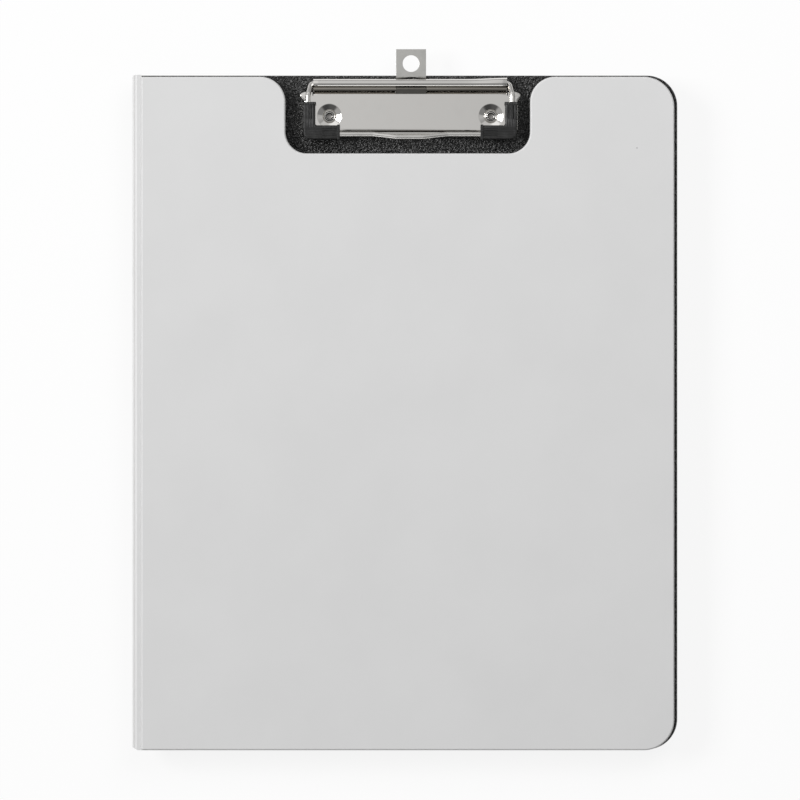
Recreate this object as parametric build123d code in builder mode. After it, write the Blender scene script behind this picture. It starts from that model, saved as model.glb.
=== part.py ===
from build123d import *
import os
from math import cos, pi, radians, tan

# A clipboard folder for A4 sheets, closed and lying on its back. The origin is on the back
# board's outer face, under the clip's centre line and at half the folder's height. +X points
# from the spine to the free edge, +Y to the clip and +Z through the cover. Lengths are in
# millimetres and angles in degrees.

# Folder
folder_height = 310.0
folder_width = 250.4  # spine's outer face to the back board's free edge
spine_to_clip = 127.5  # spine's outer face to the clip's centre line
corner_radius = 14.0
pick_margin = 0.1  # how near to its place a corner is looked for
cover_short_side = 1.7  # the cover stops this far short of the back board's free edge
cover_short_top = 0.9  # and this far short of its top edge

# Boards
core_thickness = 2.0
foil_thickness = 0.3
weld_rim = 1.2  # width of foil welded to foil around each core
rim_round = 0.7
page_gap = 3.6  # between the back board and the closed cover
crease_reach = 2.7  # from a crease's axis to the edge of the board beside it
spine_reach = 1.0  # from a crease's axis to the end of the spine strip
web_straight = 0.05  # what stays straight of a bent web beside the spine strip
spine_cut_width = 2.4  # corner cut off the spine's outer face at the foot of the folder
spine_cut_length = 1.3

# Notch in the cover, placed from the clip's centre line and the cover's top edge
notch_left = -57.3
notch_right = 55.0
notch_depth = 35.2
notch_inner_radius = 10.0
notch_outer_radius = 11.6

# Pocket inside the cover
pocket_foil = 0.3
pocket_space = 0.4
pocket_margin = 7.0
pocket_weld = 3.0
pocket_height_spine = 120.0
pocket_height_free = 75.0

# Clip plate, one pressed sheet. Each reach is measured forwards from the bail's axis.
clip_inset = 3.85  # from the back board's top edge to the bail's axis
sheet = 0.7
plate_half_width = 49.4
plate_reach = 25.0  # to the plate's front
bend_reach = 4.9  # to the bend where the flat field turns down to the board
shoulder_reach = 4.0  # to the rear edge of the shoulders beside the barrel
plate_lift = 2.0  # space under the flat field
plate_corner_radius = 3.4
lip_round = 1.3
ramp_angle = 45.0
ramp_bend_radius = 0.8
barrel_half_width = 44.5
barrel_relief = 0.4
barrel_wrap_angle = 274.0  # how far the sheet is rolled round the wire
ear_centre_x = 47.7
ear_radius = 3.2
ear_drop = 1.5
ear_straight = 0.15  # what stays straight at the ear's turned-down lip

# Rivets and their dishes
rivet_half_spacing = 37.1
rivet_reach = 15.0
shank_radius = 2.0
head_radius = 4.5
head_thickness = 0.65
head_sink = 0.1
rolled_rim_radius = 3.0
rolled_rim_height = 1.1
rim_throat_radius = 1.4
rivet_bore_radius = 1.45
rivet_bore_depth = 1.4
dish_radius = 5.6
dish_floor_radius = 2.85
dish_edge_round = 0.45
rivet_clearance = 0.05

# Wire bail
wire_radius = 1.15
running_clearance = 0.08
wire_end_x = 8.5  # each end of the wire stops here inside the barrel
barrel_exit_x = 45.9
arm_top_x = 47.1
arm_top_reach = 5.0
arm_foot_x = 46.4
bar_reach = 22.9
exit_radius = 2.0
arm_radius = 3.0
bail_corner_radius = 2.8
bow_half_width = 17.0
bow_flat_half_width = 6.5
bow_forward = 1.6
bow_rise = 1.1
bow_radius = 9.0

# Rubber grips
rest_gap = 0.3  # left under the grips when the bail is down
grip_under = 1.0
grip_over = 1.0
grip_outer_x = 49.0
grip_inner_x = 32.3
grip_leg_width = 5.4
grip_foot_width = 6.3
grip_overhang = 2.8  # how far the foot stands in front of the bar's axis
grip_leg_length = 14.2  # from the bar's axis to the leg's end
grip_round = 0.9
grip_corner_radius = 2.8
grip_inner_radius = 1.0
grip_clearance = 0.02
collar_width = 1.2
collar_proud = 0.3
collar_round = 0.25
rib_groove_width = 0.4
rib_groove_depth = 0.3
rib_pitch = 1.05
rib_count = 4
rib_length = 6.4
rib_end_gap = 0.3  # from the collar to the grooves

# Hanging hook
hook_thickness = 0.8
hook_half_width = 6.9
hook_centre_x = 0.4
hook_proud = 12.0  # how far the hook stands out over the back board's top edge
hook_clearance = 0.15
hook_stop_gap = 0.3
hook_joggle = 0.4  # the outer part lies this much higher than the part under the barrel
joggle_inset = 0.7  # from the back board's top edge to the end of the joggle
joggle_length = 0.9
joggle_bend_radius = 0.6
gate_height = 1.5
hang_hole_radius = 3.85
hang_hole_inset = 6.6  # from the hook's end to the hole's centre
head_half_width = 11.5
head_length = 5.0
window_inset = 0.8  # from the back board's top edge to the top of the hook's window
window_width = 9.6
window_length = 3.6
window_arch_rise = 1.2

board = core_thickness + 2 * foil_thickness
half_height = folder_height / 2
back_right = folder_width - spine_to_clip
cover_right = back_right - cover_short_side
cover_top = half_height - cover_short_top
cover_floor = board + page_gap
notch_bottom = cover_top - notch_depth
spine_middle_x = board / 2 - spine_to_clip
board_left = spine_middle_x + crease_reach
rear_axis_z = board / 2
front_axis_z = cover_floor + board / 2
field_top = board + plate_lift + sheet
bore_radius = wire_radius + running_clearance
roll_radius = bore_radius + sheet / 2
bail_axis_y = half_height - clip_inset
bail_axis_z = board + sheet + bore_radius
plate_front = bail_axis_y - plate_reach
plate_bend = bail_axis_y - bend_reach
shoulder_rear = bail_axis_y - shoulder_reach
rivet_y = bail_axis_y - rivet_reach
arm_top_y = bail_axis_y - arm_top_reach
bar_y = bail_axis_y - bar_reach
bar_z = field_top + rest_gap + grip_under + wire_radius
grip_front = bar_y - grip_overhang
grip_top_y = bar_y + grip_leg_length
hook_top = half_height + hook_proud
hang_hole_y = hook_top - hang_hole_inset


def back_outline():
    """The back board seen from above, with round corners at its free edge."""
    with BuildSketch() as outline:
        with Locations(((board_left + back_right) / 2, 0)):
            Rectangle(back_right - board_left, folder_height)
        fillet(outline.vertices().group_by(Axis.X)[-1], corner_radius)
    return outline.sketch


def cover_outline():
    """The cover seen from above, with the notch that leaves the clip free."""
    notch_span = (notch_left - pick_margin, notch_right + pick_margin)
    with BuildSketch() as outline:
        with Locations(((board_left + cover_right) / 2, (cover_top - half_height) / 2)):
            Rectangle(cover_right - board_left, cover_top + half_height)
        fillet(outline.vertices().group_by(Axis.X)[-1], corner_radius)
        with Locations(((notch_left + notch_right) / 2, (notch_bottom + cover_top) / 2)):
            Rectangle(notch_right - notch_left, cover_top - notch_bottom, mode=Mode.SUBTRACT)
        beside_notch = outline.vertices().filter_by_position(Axis.X, *notch_span)
        fillet(beside_notch.group_by(Axis.Y)[0], notch_inner_radius)
        beside_notch = outline.vertices().filter_by_position(Axis.X, *notch_span)
        fillet(beside_notch.group_by(Axis.Y)[-1], notch_outer_radius)
    return outline.sketch


def spine_outline():
    """The spine strip, drawn with its length along the sketch's Y."""
    with BuildSketch() as outline:
        Rectangle(front_axis_z - rear_axis_z - 2 * spine_reach, folder_height)
    return outline.sketch


def spine_corner():
    """Corner that is cut off the spine and its webs at the foot of the folder."""
    with BuildSketch() as corner:
        with BuildLine():
            Polyline(
                (-spine_to_clip, -half_height),
                (spine_cut_width - spine_to_clip, -half_height),
                (-spine_to_clip, spine_cut_length - half_height),
                close=True,
            )
        make_face()
    return corner.sketch


def foil_half(outline, plane, side):
    """Foil on one face of a board, with its rim down to the weld at half the thickness."""
    with BuildPart() as half:
        with BuildSketch(plane):
            add(outline)
        extrude(amount=side * board / 2)
        face_order = half.faces().sort_by(Axis(plane.origin, plane.z_dir * side))
        fillet(face_order[-1].edges(), rim_round)
        with BuildSketch(plane):
            add(outline)
            offset(amount=-weld_rim)
        extrude(amount=side * core_thickness / 2, mode=Mode.SUBTRACT)
    return half.part


def board_core(outline, plane):
    """Greyboard that fills the space between the two foils."""
    with BuildPart() as core:
        with BuildSketch(plane):
            add(outline)
            offset(amount=-weld_rim)
        extrude(amount=core_thickness / 2, both=True)
    return core.part


def save(part, label):
    """Name a finished piece and write its file."""
    part.label = label
    export_step(part, f"parts/{label}.step")


os.makedirs("parts", exist_ok=True)

back_plane = Plane.XY.offset(board / 2)
cover_plane = Plane.XY.offset(front_axis_z)
spine_plane = Plane(
    origin=(spine_middle_x, 0, (rear_axis_z + front_axis_z) / 2), x_dir=(0, 0, 1), z_dir=(-1, 0, 0)
)
rivet_places = [(-rivet_half_spacing, rivet_y), (rivet_half_spacing, rivet_y)]
head_recess = head_sink + head_thickness

# Back board, drilled for the rivets and recessed for their heads
with BuildPart() as back_outer_foil:
    add(foil_half(back_outline(), back_plane, -1))
    with BuildSketch():
        with Locations(*rivet_places):
            Circle(head_radius + rivet_clearance)
    extrude(amount=foil_thickness, mode=Mode.SUBTRACT)

with BuildPart() as back_core:
    add(board_core(back_outline(), back_plane))
    with BuildSketch():
        with Locations(*rivet_places):
            Circle(head_radius + rivet_clearance)
    extrude(amount=head_recess, mode=Mode.SUBTRACT)
    with BuildSketch():
        with Locations(*rivet_places):
            Circle(shank_radius + rivet_clearance)
    extrude(amount=board, mode=Mode.SUBTRACT)

with BuildPart() as back_liner:
    add(foil_half(back_outline(), back_plane, 1))
    with BuildSketch():
        with Locations(*rivet_places):
            Circle(shank_radius + rivet_clearance)
    extrude(amount=board, mode=Mode.SUBTRACT)

# Spine strip, standing on edge while the folder is closed
with BuildPart() as spine_outer_foil:
    add(foil_half(spine_outline(), spine_plane, 1))
    with BuildSketch():
        add(spine_corner())
    extrude(amount=cover_floor, mode=Mode.SUBTRACT)

with BuildPart() as spine_core:
    add(board_core(spine_outline(), spine_plane))

with BuildPart() as spine_liner:
    add(foil_half(spine_outline(), spine_plane, -1))
    with BuildSketch():
        add(spine_corner())
    extrude(amount=cover_floor, mode=Mode.SUBTRACT)

# Front cover
with BuildPart() as cover_outer_foil:
    add(foil_half(cover_outline(), cover_plane, 1))

with BuildPart() as cover_core:
    add(board_core(cover_outline(), cover_plane))

with BuildPart() as cover_liner:
    add(foil_half(cover_outline(), cover_plane, -1))

# Pocket inside the cover, welded at three sides and open at its slanted top
pocket_left = board_left + pocket_margin
pocket_right = cover_right - pocket_margin
pocket_bottom = pocket_margin - half_height
with BuildPart() as inner_pocket:
    with BuildSketch(Plane.XY.offset(cover_floor)):
        with BuildLine():
            Polyline(
                (pocket_left, pocket_bottom),
                (pocket_right, pocket_bottom),
                (pocket_right, pocket_bottom + pocket_height_free),
                (pocket_left, pocket_bottom + pocket_height_spine),
                close=True,
            )
        make_face()
    extrude(amount=-(pocket_foil + pocket_space))
    with BuildSketch(Plane.XY.offset(cover_floor)):
        with BuildLine():
            Polyline(
                (pocket_left + pocket_weld, pocket_bottom + pocket_weld),
                (pocket_right - pocket_weld, pocket_bottom + pocket_weld),
                (pocket_right - pocket_weld, pocket_bottom + folder_height),
                (pocket_left + pocket_weld, pocket_bottom + folder_height),
                close=True,
            )
        make_face()
    extrude(amount=-pocket_space, mode=Mode.SUBTRACT)


def hinge_web(axis_z, inward):
    """Welded foils bent round a crease, from the board's edge to the spine strip's end."""
    with BuildPart() as web:
        with BuildSketch(Plane.XZ.offset(-half_height)):
            with BuildLine():
                FilletPolyline(
                    (board_left, axis_z),
                    (spine_middle_x, axis_z),
                    (spine_middle_x, axis_z + inward * spine_reach),
                    radius=spine_reach - web_straight,
                )
            trace(line_width=2 * foil_thickness)
        extrude(amount=folder_height)
        with BuildSketch():
            add(spine_corner())
        extrude(amount=cover_floor + board, mode=Mode.SUBTRACT)
    return web.part


with BuildPart() as rear_hinge_web:
    add(hinge_web(rear_axis_z, 1))

with BuildPart() as front_hinge_web:
    add(hinge_web(front_axis_z, -1))

# Clip plate. The sheet runs from the front lip over the flat field, ramps down to the board
# behind it and is rolled up and forwards round the wire.
field_middle_z = field_top - sheet / 2
foot_middle_z = board + sheet / 2
ramp_slope = tan(radians(ramp_angle))
ramp_foot = plate_bend + (field_middle_z - foot_middle_z) / ramp_slope
gate_half_width = hook_half_width + hook_clearance

with BuildPart() as clip_plate:
    with BuildSketch(Plane.XY.offset(board)) as plate_outline:
        with Locations((0, (plate_front + shoulder_rear) / 2)):
            Rectangle(2 * plate_half_width, shoulder_rear - plate_front)
        fillet(plate_outline.vertices().group_by(Axis.Y)[0], plate_corner_radius)
    extrude(amount=plate_lift + sheet)
    top_edges = clip_plate.faces().sort_by(Axis.Z)[-1].edges()
    fillet(top_edges.sort_by(Axis.Y)[:-1], lip_round)
    open_faces = [clip_plate.faces().sort_by(Axis.Z)[0], clip_plate.faces().sort_by(Axis.Y)[-1]]
    offset(amount=-sheet, openings=open_faces)

    # Flared ears at the rear ends of the sides
    for side in (-1, 1):
        with BuildSketch(Plane.XZ.offset(-(shoulder_rear - ear_radius))):
            with BuildLine():
                FilletPolyline(
                    (side * ear_centre_x, field_middle_z),
                    (side * (ear_centre_x + ear_radius - sheet / 2), field_middle_z),
                    (side * (ear_centre_x + ear_radius - sheet / 2), field_middle_z - ear_drop),
                    radius=ear_drop - ear_straight,
                )
            trace(line_width=sheet)
        ear_axis = Axis((side * ear_centre_x, shoulder_rear - ear_radius, 0), (0, 0, side))
        revolve(axis=ear_axis, revolution_arc=90)

    # Room for the barrel between the shoulders
    with BuildSketch(Plane.XY.offset(board)):
        with Locations((0, (plate_bend - ramp_bend_radius + shoulder_rear) / 2)):
            Rectangle(
                2 * (barrel_half_width + barrel_relief),
                shoulder_rear - plate_bend + ramp_bend_radius,
            )
    extrude(amount=plate_lift + sheet, mode=Mode.SUBTRACT)

    # Ramp and rolled barrel
    with BuildSketch(Plane.YZ.offset(-barrel_half_width)):
        with BuildLine():
            CenterArc((bail_axis_y, bail_axis_z), roll_radius, 270, barrel_wrap_angle)
            FilletPolyline(
                (plate_bend - 2 * ramp_bend_radius, field_middle_z),
                (plate_bend, field_middle_z),
                (ramp_foot, foot_middle_z),
                (bail_axis_y, foot_middle_z),
                radius=ramp_bend_radius,
            )
        trace(line_width=sheet)
    extrude(amount=2 * barrel_half_width)

    # Gate for the hook, under the barrel
    with BuildSketch(Plane.XY.offset(board)):
        with Locations((hook_centre_x, (plate_bend + cover_top) / 2)):
            Rectangle(2 * gate_half_width, cover_top - plate_bend)
    extrude(amount=gate_height, mode=Mode.SUBTRACT)

    # Dishes pressed down to the board
    with BuildSketch(Plane.XY.offset(board)):
        with Locations(*rivet_places):
            Circle(dish_radius)
    extrude(amount=plate_lift + sheet, mode=Mode.SUBTRACT)
    for place_x, place_y in rivet_places:
        with BuildSketch(Plane.XZ.offset(-place_y)):
            with BuildLine():
                FilletPolyline(
                    (place_x + shank_radius + rivet_clearance, board + sheet / 2),
                    (place_x + dish_floor_radius, board + sheet / 2),
                    (place_x + dish_radius - sheet / 2, field_middle_z),
                    (place_x + dish_radius + sheet / 2, field_middle_z),
                    radius=dish_edge_round,
                )
            trace(line_width=sheet)
        revolve(axis=Axis((place_x, place_y, 0), (0, 0, 1)))

# Tubular rivets, with the flat head at the back and the rolled rim in the dish
dish_floor_top = board + sheet
rolled_rim_top = dish_floor_top + rolled_rim_height
rivet_floor_z = rolled_rim_top - rivet_bore_depth
rim_side_radius = rolled_rim_radius - rolled_rim_height / 2
with BuildPart() as clip_rivets:
    for place_x, place_y in rivet_places:
        with BuildSketch(Plane.XZ.offset(-place_y)):
            with BuildLine():
                Polyline(
                    (place_x + rivet_bore_radius, dish_floor_top),
                    (place_x + rivet_bore_radius, rivet_floor_z),
                    (place_x, rivet_floor_z),
                    (place_x, head_sink),
                    (place_x + head_radius, head_sink),
                    (place_x + head_radius, head_recess),
                    (place_x + shank_radius, head_recess),
                    (place_x + shank_radius, dish_floor_top),
                    (place_x + rim_side_radius, dish_floor_top),
                )
                ThreePointArc(
                    (place_x + rim_side_radius, dish_floor_top),
                    (place_x + rolled_rim_radius, dish_floor_top + rolled_rim_height / 2),
                    (place_x + rim_side_radius, rolled_rim_top),
                )
                RadiusArc(
                    (place_x + rim_side_radius, rolled_rim_top),
                    (place_x + rivet_bore_radius, dish_floor_top),
                    rim_throat_radius,
                )
            make_face()
        revolve(axis=Axis((place_x, place_y, 0), (0, 0, 1)))

# Wire bail, one bent wire whose two ends turn inside the barrel
half_route = [
    (wire_end_x, bail_axis_y, bail_axis_z),
    (barrel_exit_x, bail_axis_y, bail_axis_z),
    (arm_top_x, arm_top_y, bar_z),
    (arm_foot_x, bar_y, bar_z),
    (bow_half_width, bar_y, bar_z),
    (bow_flat_half_width, bar_y - bow_forward, bar_z + bow_rise),
]
half_radii = [exit_radius, arm_radius, bail_corner_radius, bow_radius, bow_radius]
mirrored_route = [(-x, y, z) for x, y, z in reversed(half_route)]

with BuildPart() as bail_wire:
    with BuildLine() as wire_route:
        FilletPolyline(*half_route, *mirrored_route, radius=half_radii + half_radii[::-1])
    with BuildSketch(Plane(origin=wire_route.wire() @ 0, z_dir=wire_route.wire() % 0)):
        Circle(wire_radius)
    sweep()
print(
    "bail wire volume over section times length:",
    round(bail_wire.part.volume / (pi * wire_radius**2 * wire_route.wire().length), 4),
)


def corner_grip(side):
    """L-shaped rubber grip pushed over one corner of the bail, grooved near its two ends."""
    grip_floor = field_top + rest_gap
    grip_height = bar_z + wire_radius + grip_over - grip_floor
    grip_ceiling = grip_floor + grip_height
    with BuildPart() as grip:
        with BuildSketch(Plane.XY.offset(grip_floor)) as footprint:
            with BuildLine():
                Polyline(
                    (side * grip_outer_x, grip_front),
                    (side * grip_outer_x, grip_top_y),
                    (side * (grip_outer_x - grip_leg_width), grip_top_y),
                    (side * (grip_outer_x - grip_leg_width), grip_front + grip_foot_width),
                    (side * grip_inner_x, grip_front + grip_foot_width),
                    (side * grip_inner_x, grip_front),
                    close=True,
                )
            make_face()
            by_x = footprint.vertices().sort_by(Axis.X)
            outer_pair = by_x[-2:] if side > 0 else by_x[:2]
            fillet(outer_pair.sort_by(Axis.Y)[0], grip_corner_radius)
            inner_x = side * (grip_outer_x - grip_leg_width)
            inner_pair = footprint.vertices().filter_by_position(Axis.X, inner_x, inner_x)
            fillet(inner_pair.sort_by(Axis.Y)[0], grip_inner_radius)
        extrude(amount=grip_height)
        fillet(grip.faces().sort_by(Axis.Z)[-1].edges(), grip_round)
        with BuildSketch(Plane.XY.offset(grip_floor)):
            with Locations((side * (grip_inner_x + collar_width / 2), grip_front + grip_foot_width / 2)):
                Rectangle(collar_width, grip_foot_width + 2 * collar_proud)
            with Locations((side * (grip_outer_x - grip_leg_width / 2), grip_top_y - collar_width / 2)):
                Rectangle(grip_leg_width + 2 * collar_proud, collar_width)
        extrude(amount=grip_height + collar_proud)
        fillet(grip.faces().group_by(Axis.Z)[-1].edges(), collar_round)
        with BuildLine():
            FilletPolyline(
                (side * arm_top_x, arm_top_y, bar_z),
                (side * arm_foot_x, bar_y, bar_z),
                (side * bow_half_width, bar_y, bar_z),
                radius=bail_corner_radius,
            )
        with BuildSketch(
            Plane(
                origin=(side * arm_top_x, arm_top_y, bar_z),
                z_dir=(side * (arm_foot_x - arm_top_x), bar_y - arm_top_y, 0),
            )
        ):
            Circle(wire_radius + grip_clearance)
        sweep(mode=Mode.SUBTRACT)
        with BuildSketch(Plane.XY.offset(grip_ceiling - rib_groove_depth)):
            groove_inset = collar_width + rib_end_gap + rib_length / 2
            foot_groove_x = side * (grip_inner_x + groove_inset)
            with Locations((foot_groove_x, grip_front + grip_foot_width / 2)):
                with GridLocations(0, rib_pitch, 1, rib_count):
                    Rectangle(rib_length, rib_groove_width)
            leg_groove_x = side * (grip_outer_x - grip_leg_width / 2)
            with Locations((leg_groove_x, grip_top_y - groove_inset)):
                with GridLocations(rib_pitch, 0, rib_count - 1, 1):
                    Rectangle(rib_groove_width, rib_length)
        extrude(amount=rib_groove_depth, mode=Mode.SUBTRACT)
    return grip.part


with BuildPart() as corner_grip_left:
    add(corner_grip(-1))

with BuildPart() as corner_grip_right:
    add(corner_grip(1))

# Hanging hook, whose wide inner end stops behind the ramp beside the gate. Its window ends in a
# low arch just outside the barrel.
hook_floor = board + hook_clearance
hook_middle_z = hook_floor + hook_thickness / 2
ramp_underside_z = field_middle_z - sheet / 2 / cos(radians(ramp_angle))
head_reach = (ramp_underside_z - hook_floor - hook_thickness) / ramp_slope
head_top = plate_bend + head_reach - hook_stop_gap
joggle_end = half_height - joggle_inset
window_top = half_height - window_inset
with BuildPart() as hanging_hook:
    with BuildSketch(Plane.YZ.offset(hook_centre_x - hook_half_width)):
        with BuildLine():
            FilletPolyline(
                (head_top - head_length, hook_middle_z),
                (joggle_end - joggle_length, hook_middle_z),
                (joggle_end, hook_middle_z + hook_joggle),
                (hook_top, hook_middle_z + hook_joggle),
                radius=joggle_bend_radius,
            )
        trace(line_width=hook_thickness)
    extrude(amount=2 * hook_half_width)
    with BuildSketch(Plane.XY.offset(hook_floor)):
        with Locations((hook_centre_x, head_top - head_length / 2)):
            Rectangle(2 * head_half_width, head_length)
    extrude(amount=hook_thickness)
    with BuildSketch(Plane.XY.offset(hook_floor)):
        with Locations((hook_centre_x, hang_hole_y)):
            Circle(hang_hole_radius)
        with BuildLine():
            Polyline(
                (hook_centre_x + window_width / 2, window_top - window_arch_rise),
                (hook_centre_x + window_width / 2, window_top - window_length),
                (hook_centre_x - window_width / 2, window_top - window_length),
                (hook_centre_x - window_width / 2, window_top - window_arch_rise),
            )
            ThreePointArc(
                (hook_centre_x - window_width / 2, window_top - window_arch_rise),
                (hook_centre_x, window_top),
                (hook_centre_x + window_width / 2, window_top - window_arch_rise),
            )
        make_face()
    extrude(amount=hook_thickness + hook_joggle, mode=Mode.SUBTRACT)

pieces = {
    "back_outer_foil": back_outer_foil,
    "back_core": back_core,
    "back_liner": back_liner,
    "spine_outer_foil": spine_outer_foil,
    "spine_core": spine_core,
    "spine_liner": spine_liner,
    "cover_outer_foil": cover_outer_foil,
    "cover_core": cover_core,
    "cover_liner": cover_liner,
    "inner_pocket": inner_pocket,
    "rear_hinge_web": rear_hinge_web,
    "front_hinge_web": front_hinge_web,
    "clip_plate": clip_plate,
    "clip_rivets": clip_rivets,
    "bail_wire": bail_wire,
    "corner_grip_left": corner_grip_left,
    "corner_grip_right": corner_grip_right,
    "hanging_hook": hanging_hook,
}
for label, piece in pieces.items():
    save(piece.part, label)
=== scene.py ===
from math import cos, pi, radians, sin, tan

import bmesh
import bpy
from mathutils import Matrix, Quaternion, Vector
from mathutils.geometry import tessellate_polygon


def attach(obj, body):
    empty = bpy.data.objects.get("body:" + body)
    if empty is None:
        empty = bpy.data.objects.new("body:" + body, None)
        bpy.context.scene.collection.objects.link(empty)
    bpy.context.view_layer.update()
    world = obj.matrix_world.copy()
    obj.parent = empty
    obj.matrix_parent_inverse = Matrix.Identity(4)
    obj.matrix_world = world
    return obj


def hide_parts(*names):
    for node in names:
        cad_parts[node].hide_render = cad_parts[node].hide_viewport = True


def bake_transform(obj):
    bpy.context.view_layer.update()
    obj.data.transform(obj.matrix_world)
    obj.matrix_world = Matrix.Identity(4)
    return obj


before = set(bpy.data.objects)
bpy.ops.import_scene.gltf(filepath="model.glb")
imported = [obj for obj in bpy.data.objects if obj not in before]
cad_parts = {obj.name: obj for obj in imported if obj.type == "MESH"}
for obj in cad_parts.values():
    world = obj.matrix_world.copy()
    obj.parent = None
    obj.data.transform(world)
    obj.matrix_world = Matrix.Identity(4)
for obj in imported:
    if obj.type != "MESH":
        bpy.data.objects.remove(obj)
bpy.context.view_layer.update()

# Looks of the clipboard folder. The frame's origin, axes and sizes are those of part.py, in
# metres here, so most places below repeat its named values.
mm = 0.001

# Folder and boards
half_height = 155.0 * mm
board = 2.6 * mm
foil = 0.3 * mm
weld_rim = 1.2 * mm
page_gap = 3.6 * mm
cover_floor = board + page_gap
front_axis_z = cover_floor + board / 2
rear_axis_z = board / 2
spine_outer_x = -127.5 * mm
spine_middle_x = -126.2 * mm
board_left = -123.5 * mm
back_right = 122.9 * mm
cover_right = 121.2 * mm
cover_top = 154.1 * mm
corner_radius = 14.0 * mm
spine_cut_width = 2.4 * mm
spine_cut_length = 1.3 * mm
spine_reach = 1.0 * mm

# Notch in the cover
notch_left = -57.3 * mm
notch_right = 55.0 * mm
notch_bottom = 118.9 * mm
notch_inner_radius = 10.0 * mm
notch_outer_radius = 11.6 * mm

# Edge of a foil: a thin weld line proud of a rounded shoulder
weld_proud = 0.12 * mm
weld_height = 0.14 * mm
shoulder_radius = 0.7 * mm
square_corner_radius = 0.35 * mm

# Clip plate
sheet = 0.7 * mm
field_top = 5.3 * mm
field_z = field_top - sheet / 2
foot_z = board + sheet / 2
plate_left_reach = 49.1 * mm
plate_right_reach = 49.7 * mm
plate_front = 126.4 * mm
plate_corner_radius = 3.4 * mm
plate_bend = 146.05 * mm
ramp_foot = 147.95 * mm
ramp_bend_radius = 0.45 * mm
shoulder_rear = 147.15 * mm
lip_round = 1.3 * mm
barrel_half_width = 44.5 * mm
barrel_relief = 0.4 * mm
barrel_wrap = radians(274)
roll_radius = 1.58 * mm
roll_offset = 0.17 * mm
roll_opening_start = 26 * mm
roll_opening_length = 18 * mm
roll_opening_radius = 0.34 * mm
roll_opening_offset = 0.2 * mm
bail_axis_y = 151.15 * mm
bail_axis_z = 4.53 * mm
gate_left = -6.65 * mm
gate_right = 7.45 * mm
gate_top = 4.32 * mm
seat_half_length = 30.5 * mm
seat_fade = 4 * mm
ear_tip_x = 50.55 * mm
ear_tip_y = 145.6 * mm
ear_back_x = 46.6 * mm
ear_flare = 2.8 * mm
ear_lip = 0.55 * mm
ear_drop = 1.5 * mm
ear_least_lip = 0.24 * mm
ear_least_drop = 0.36 * mm

# Rivets and dishes
rivet_half_spacing = 37.1 * mm
rivet_y = 136.15 * mm
rivet_hole_radius = 2.05 * mm
rivet_head_radius = 4.55 * mm
dish_radius = 5.6 * mm
dish_floor_radius = 2.85 * mm
dish_edge_round = 0.45 * mm
dish_slope_reach = 0.1 * mm
dish_foot_run = 0.55 * mm
dish_foot_rise = 0.85 * mm

# Wire bail
wire_radius = 1.15 * mm
wire_end_x = 8.5 * mm
elbow_x = 45.6 * mm
arm_top_x = 47.0 * mm
arm_top_y = 145.6 * mm
arm_foot_x = 46.8 * mm
bar_y = 127.65 * mm
bar_z = 7.75 * mm
bow_foot_x = 17.0 * mm
bow_top_x = 6.5 * mm
bow_top_y = 126.45 * mm
bow_top_z = 8.85 * mm


class Graph:
    """One node tree, filled node by node."""

    def __init__(self, tree):
        self.tree = tree

    def add(self, kind, inputs=None, **settings):
        """Add a node; an input is a value, or another node's socket that is joined to it."""
        node = self.tree.nodes.new(kind)
        for name, value in settings.items():
            setattr(node, name, value)
        for key, value in (inputs or {}).items():
            if isinstance(value, bpy.types.NodeSocket):
                self.tree.links.new(value, node.inputs[key])
            else:
                node.inputs[key].default_value = value
        return node

    def noise(self, place, scale, detail=2.0, stretch=(1.0, 1.0, 1.0)):
        """Soft noise with spots of about 1 / scale metres, drawn out along the axes."""
        moved = self.add("ShaderNodeMapping", {"Vector": place, "Scale": stretch}).outputs[0]
        sockets = {"Vector": moved, "Scale": scale, "Detail": detail}
        return self.add("ShaderNodeTexNoise", sockets).outputs[0]

    def spread(self, value, low, high, to_low, to_high):
        """Map a value from one range to another and keep it there."""
        sockets = {"Value": value, "From Min": low, "From Max": high, "To Min": to_low, "To Max": to_high}
        return self.add("ShaderNodeMapRange", sockets).outputs[0]

    def math(self, operation, first, second=0.0):
        """Result of a sum, product or the like of two numbers."""
        return self.add("ShaderNodeMath", {0: first, 1: second}, operation=operation).outputs[0]

    def band(self, value, low, high, softness):
        """One between low and high and zero outside, with soft edges."""
        rise = self.spread(value, low - softness, low + softness, 0.0, 1.0)
        fall = self.spread(value, high - softness, high + softness, 1.0, 0.0)
        return self.math("MULTIPLY", rise, fall)

    def mix(self, share, first, second):
        """Colour between first and second."""
        sockets = {0: share, 6: first, 7: second}
        return self.add("ShaderNodeMix", sockets, data_type="RGBA").outputs[2]

    def bump(self, height, depth):
        """Raise the surface by height times depth, in metres."""
        return self.add("ShaderNodeBump", {"Height": height, "Distance": depth}).outputs[0]

    def join(self, socket, target):
        """Link an output to an input."""
        self.tree.links.new(socket, target)


def grey(value, warmth=0.0):
    """Grey of the given linear value, a little warmer or cooler."""
    return (value * (1 + warmth), value, value * (1 - warmth), 1.0)


def new_material(name):
    """Material with its graph, its shader and the place on the piece."""
    material = bpy.data.materials.new(name)
    material.use_nodes = True
    graph = Graph(material.node_tree)
    surface = material.node_tree.nodes["Principled BSDF"]
    place = graph.add("ShaderNodeTexCoord").outputs["Object"]
    return material, graph, surface, place


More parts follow.
